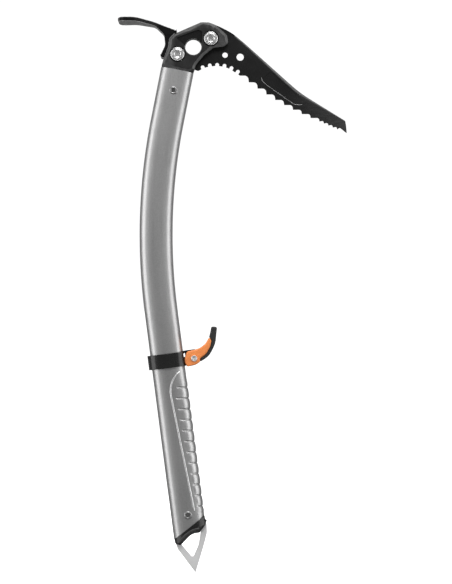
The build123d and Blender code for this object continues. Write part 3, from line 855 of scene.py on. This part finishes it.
make_bolt("rear_bolt", REAR_BOLT)
make_bolt("front_bolt", FRONT_BOLT)
make_rivet("head_rivet", HEAD_RIVET)
make_rivet("spike_rivet", SPIKE_RIVET)
make_pivot_screw()

# ---------------------------------------------------------------- end plug's ridge

PLUG_FACE = 10.85
PLUG_RIDGE = ((-12.6, -467.5), (-9.0, -461.5), (-3.5, -456.0), (6.0, -454.6))
PLUG_RIDGE_HALF = 0.85
PLUG_RIDGE_HEIGHT = 0.45


def make_plug_ridge(side):
    """The moulded ridge that follows the plug's hollow lower edge; its lighter plastic is a painted
    highlight along the ridge.
    """
    line = curve_points(PLUG_RIDGE, 24)
    name = "plug_ridge_" + near_or_far(side)
    face = flat_face(PLUG_FACE, side)
    make_bead(name, line, face, PLUG_RIDGE_HALF, PLUG_RIDGE_HEIGHT, PLUG_RIDGE_HIGHLIGHT)


make_plug_ridge(-1)
make_plug_ridge(1)

# ---------------------------------------------------------------- hand rest lever

CHEEK_INNER = 4.15
CHEEK_OUTER = 7.4
FORK_RADIUS = 9.4
WEB_HALF = 4.6
RUBBER_HALF = 6.7
LEVER_EDGE = 1.5
WEB_EDGE = 0.3
RUBBER_EDGE = 1.3
EDGE_STEPS = 5
RIM_SHARE = 1.15
INSET_SHARE = 0.85
NO_LIMIT = 1000.0
CHEEK_OUTLINE = (
    (-6.0, -287.9, 2.5),
    (-8.2, -294.0, 6.0),
    (-7.8, -299.0, 3.0),
    (-5.5, -302.1, 1.2),
    (2.0, -300.6, 8.0),
    (6.3, -297.8, 1.2),
    (6.5, -294.4, 1.5),
    (12.2, -290.0, 10.0),
    (16.3, -282.6, 8.0),
    (17.0, -277.6, 1.2),
    (14.9, -274.0, 1.2),
    (11.6, -280.4, 10.0),
    (5.6, -285.0, 10.0),
    (-2.0, -286.8, 10.0),
)
WEB_OUTLINE = (
    (10.2, -291.4, 1.2),
    (16.4, -283.0, 8.0),
    (17.0, -277.6, 1.2),
    (14.9, -274.4, 1.2),
    (11.8, -280.4, 10.0),
    (9.4, -284.0, 1.2),
)
RUBBER_OUTLINE = (
    (6.3, -297.8, 1.4),
    (6.5, -294.4, 1.5),
    (12.2, -290.0, 10.0),
    (16.3, -282.6, 8.0),
    (17.0, -277.6, 1.4),
    (14.9, -274.0, 1.4),
    (16.0, -269.6, 8.0),
    (17.0, -264.2, 1.7),
    (22.5, -264.6, 1.7),
    (20.9, -280.6, 18.0),
    (15.0, -292.2, 16.0),
)


def rounded_outline(corners):
    """Points round an outline with rounded corners: (point, outward direction, inset limit)."""
    spots = [Vector(corner[:2]) for corner in corners]
    area = sum(a.x * b.y - b.x * a.y for a, b in zip(spots, spots[1:] + spots[:1]))
    path = []
    for index, corner in enumerate(spots):
        radius = corners[index][2]
        before = spots[index - 1] - corner
        after = spots[(index + 1) % len(spots)] - corner
        half_angle = before.angle(after) / 2
        reach = min(radius / tan(half_angle), before.length * 0.48, after.length * 0.48)
        rounding = reach * tan(half_angle)
        middle = (before.normalized() + after.normalized()).normalized()
        centre = corner + middle * rounding / sin(half_angle)
        cross = after.x * before.y - after.y * before.x
        outward = 1 if cross * area > 0 else -1
        limit = rounding * INSET_SHARE if outward > 0 else NO_LIMIT
        sweep = pi / 2 - half_angle
        steps = max(2, round(sweep / radians(5)))
        first = (corner + before.normalized() * reach - centre).normalized()
        last = (corner + after.normalized() * reach - centre).normalized()
        for step in range(steps + 1):
            t = step / steps
            way = first * sin((1 - t) * 2 * sweep) + last * sin(t * 2 * sweep)
            way = way.normalized()
            path.append((centre + way * rounding, way * outward, limit))
    return path


def rounded_plate(corners, near, far, edge):
    """Vertices and faces of a plate between y = near and far, with its edges rounded over."""
    path = rounded_outline(corners)
    rim = edge * RIM_SHARE
    profile = [(rim, 0.0)]
    for step in range(EDGE_STEPS + 1):
        angle = pi / 2 * step / EDGE_STEPS
        profile.append((edge * (1 - sin(angle)), edge * (1 - cos(angle))))
    rings = [(inset, near + depth) for inset, depth in profile]
    rings += [(inset, far - depth) for inset, depth in reversed(profile)]
    vertices = []
    for inset, y in rings:
        for point, outward, limit in path:
            share = min(1.0, limit / rim)
            moved = point - outward * inset * share
            vertices.append(Vector((moved.x, y, moved.y)))
    return vertices, capped_faces(len(rings), len(path))


def joined(*shapes):
    """Several (vertices, faces) shapes as one."""
    vertices = []
    faces = []
    for more_vertices, more_faces in shapes:
        start = len(vertices)
        vertices += more_vertices
        faces += [tuple(start + index for index in face) for face in more_faces]
    return vertices, faces


def make_lever():
    """The orange fork: two cheeks that straddle the band's tongue, and the web that joins them."""
    near = rounded_plate(CHEEK_OUTLINE, -CHEEK_OUTER, -CHEEK_INNER, LEVER_EDGE)
    far = rounded_plate(CHEEK_OUTLINE, CHEEK_INNER, CHEEK_OUTER, LEVER_EDGE)
    web = rounded_plate(WEB_OUTLINE, -WEB_HALF, WEB_HALF, WEB_EDGE)
    vertices, faces = joined(near, far, web)
    new_piece("lever_fork", vertices, faces, ORANGE, "lever", ("rest_lever",), 60)


def make_rubber():
    """The black rubber along the outside of the hook."""
    vertices, faces = rounded_plate(RUBBER_OUTLINE, -RUBBER_HALF, RUBBER_HALF, RUBBER_EDGE)
    replaced = ("lever_overmould",)
    rubber = new_piece("hook_rubber", vertices, faces, RUBBER, "lever", replaced, 60)
    cut_round_hole(rubber, PIVOT, FORK_RADIUS, 2 * CHEEK_INNER)


make_lever()
make_rubber()

# ---------------------------------------------------------------- studio

FLOOR_HALF = 60.0
FLOOR_DROP = 0.06
WORLD_LIGHT = 0.25
WORLD_SHOWN = 1.05
VIEW_MIDDLE = (VIEW_CENTRE_X, 0.0, VIEW_CENTRE_Z)


def make_floor():
    """A plain pale floor, well below the spike, which lights nothing above it."""
    mesh = bpy.data.meshes.new("floor")
    half = FLOOR_HALF
    level = cad_box[0][2] - FLOOR_DROP
    corners = [(-half, -half, level), (half, -half, level), (half, half, level), (-half, half, level)]
    mesh.from_pydata(corners, [], [(0, 1, 2, 3)])
    floor = bpy.data.objects.new("floor", mesh)
    bpy.context.scene.collection.objects.link(floor)
    s = Shader("floor_paper")
    s.set(Base_Color=s.mix(s.noise(30.0, 3.0), grey(0.90), grey(0.93)))
    s.set(Roughness=0.9)
    s.set(Emission_Color=grey(1.0))
    s.set(Emission_Strength=1.0)
    mesh.materials.append(s.material)
    floor.visible_diffuse = False
    floor.visible_glossy = False


def area_light(name, place, width, height, power):
    """A rectangular soft light that faces the middle of the view."""
    data = bpy.data.lights.new(name, "AREA")
    data.energy = power
    data.shape = "RECTANGLE"
    data.size = width
    data.size_y = height
    light = bpy.data.objects.new(name, data)
    light.location = place
    towards = Vector(VIEW_MIDDLE) - Vector(place)
    light.rotation_euler = towards.to_track_quat("-Z", "Y").to_euler()
    bpy.context.scene.collection.objects.link(light)


def make_world():
    """A white backdrop that gives only a little light."""
    world = bpy.data.worlds.new("studio")
    world.use_nodes = True
    tree = world.node_tree
    background = tree.nodes["Background"]
    background.inputs["Color"].default_value = (1, 1, 1, 1)
    background.inputs["Strength"].default_value = WORLD_LIGHT
    shown = tree.nodes.new("ShaderNodeBackground")
    shown.inputs["Color"].default_value = (1, 1, 1, 1)
    shown.inputs["Strength"].default_value = WORLD_SHOWN
    path = tree.nodes.new("ShaderNodeLightPath")
    mix = tree.nodes.new("ShaderNodeMixShader")
    tree.links.new(path.outputs["Is Camera Ray"], mix.inputs["Fac"])
    tree.links.new(background.outputs["Background"], mix.inputs[1])
    tree.links.new(shown.outputs["Background"], mix.inputs[2])
    tree.links.new(mix.outputs["Shader"], tree.nodes["World Output"].inputs["Surface"])
    bpy.context.scene.world = world


make_floor()
make_world()
area_light("left_strip", (-1.65, -0.70, -0.1), 1.45, 1.8, 19.0)
area_light("right_strip", (1.65, -0.70, -0.1), 1.45, 1.8, 16.5)
area_light("top_soft", (0.0, -0.3, 1.5), 1.6, 1.2, 12.0)
area_light("front_fill", (0.2, -1.7, 1.3), 1.0, 0.8, 21.0)
area_light("back_soft", (0.0, 1.8, 0.4), 2.0, 1.5, 10.0)

bpy.context.scene.view_settings.view_transform = "Standard"
